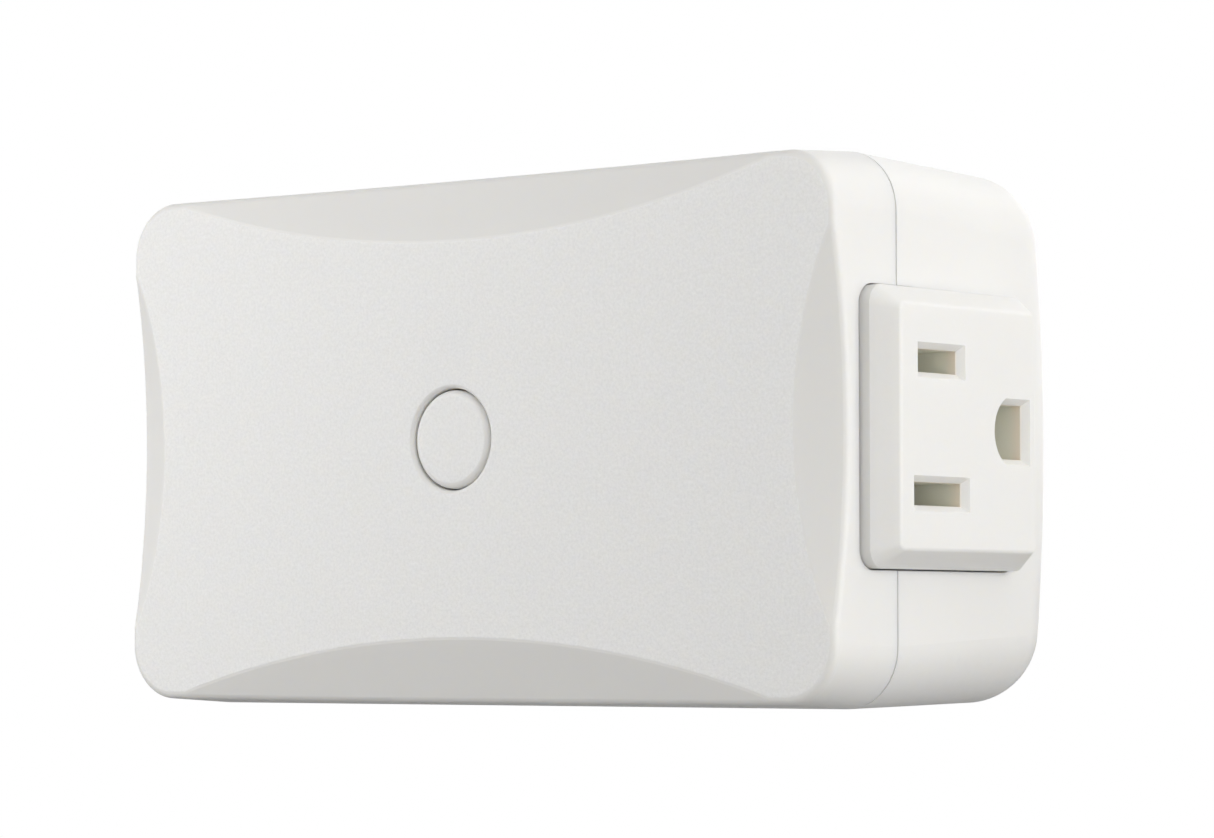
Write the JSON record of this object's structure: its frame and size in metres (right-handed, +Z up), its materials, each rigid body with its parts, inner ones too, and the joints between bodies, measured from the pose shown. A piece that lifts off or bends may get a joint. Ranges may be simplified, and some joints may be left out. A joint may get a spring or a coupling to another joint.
{
  "type": "plug in dimmer",
  "caption": "Plug-in wall dimmer: white box with concave chamfers, a round push button, a grounded receptacle at the end and a grounded plug on the back.",
  "frame": {"origin": "midway between the two flat plug blades, on the flat back face that rests against the wall plate", "axes": "+X along the case towards the receptacle end, +Y out of the back into the wall, +Z up; the front face with the button looks along -Y"},
  "size_m": [0.0976, 0.06, 0.0537],
  "materials": {
    "cover_plastic": "fine sparkle texture, white",
    "housing_plastic": "smooth satin white",
    "face_plastic": "smooth satin white",
    "button_plastic": "fine sparkle texture, white",
    "blade_metal": "plain stamped brass",
    "contact_metal": "plain stamped brass",
    "insulator": "moulded dark plastic",
    "wire_black": "black insulation",
    "wire_white": "white insulation",
    "wire_green": "green insulation",
    "board_green": "green solder mask",
    "pin_metal": "gold-coloured pins",
    "plunger_plastic": "black moulded plastic",
    "indicator": "clear lens",
    "shield_metal": "tinned can",
    "chip_plastic": "black epoxy",
    "cooler_metal": "plain rolled",
    "screw_steel": "zinc plated",
    "core_paint": "yellow coated powder core",
    "copper": "enamelled copper wire",
    "film_plastic": "yellow plastic case",
    "sleeve_plastic": "dark shrink sleeve",
    "varistor_coat": "blue epoxy coat",
    "fuse_glass": "clear tube",
    "fuse_metal": "nickel plated",
    "ferrite": "bare ferrite",
    "coil_tape": "yellow tape over the winding"
  },
  "bodies": {
    "housing": {"front_cover": "cover_plastic", "rear_housing": "housing_plastic", "receptacle_face": "face_plastic", "hot_blade": "blade_metal", "neutral_blade": "blade_metal", "ground_pin": "blade_metal", "hot_contact": "contact_metal", "neutral_contact": "contact_metal", "ground_contact": "contact_metal", "blade_carrier": "insulator", "socket_body": "insulator", "header_base": "insulator", "switch_body": "insulator", "hot_wire": "wire_black", "antenna": "wire_black", "neutral_wire": "wire_white", "ground_wire": "wire_green", "power_board": "board_green", "control_board": "board_green", "radio_module": "board_green", "header_pins": "pin_metal", "status_led": "indicator", "light_pipe": "indicator", "radio_shield": "shield_metal", "control_chip": "chip_plastic", "triac": "chip_plastic", "bridge_rectifier": "chip_plastic", "heat_sink": "cooler_metal", "triac_screw": "screw_steel", "housing_screws": "screw_steel", "power_board_screws": "screw_steel", "control_board_screws": "screw_steel", "choke_core": "core_paint", "choke_winding": "copper", "film_capacitor": "film_plastic", "electrolytic_capacitor": "sleeve_plastic", "varistor": "varistor_coat", "fuse_body": "fuse_glass", "fuse_caps": "fuse_metal", "transformer_core": "ferrite", "transformer_coil": "coil_tape"},
    "button": {"button_cap": "button_plastic", "switch_plunger": "plunger_plastic"}
  },
  "joints": [
    {"name": "button_press", "type": "slide", "parent": "housing", "child": "button", "axis": [0, 1, 0], "range_m": [0, 0.00035], "stiffness_N_per_m": 3000, "springref_m": -0.0002}
  ]
}
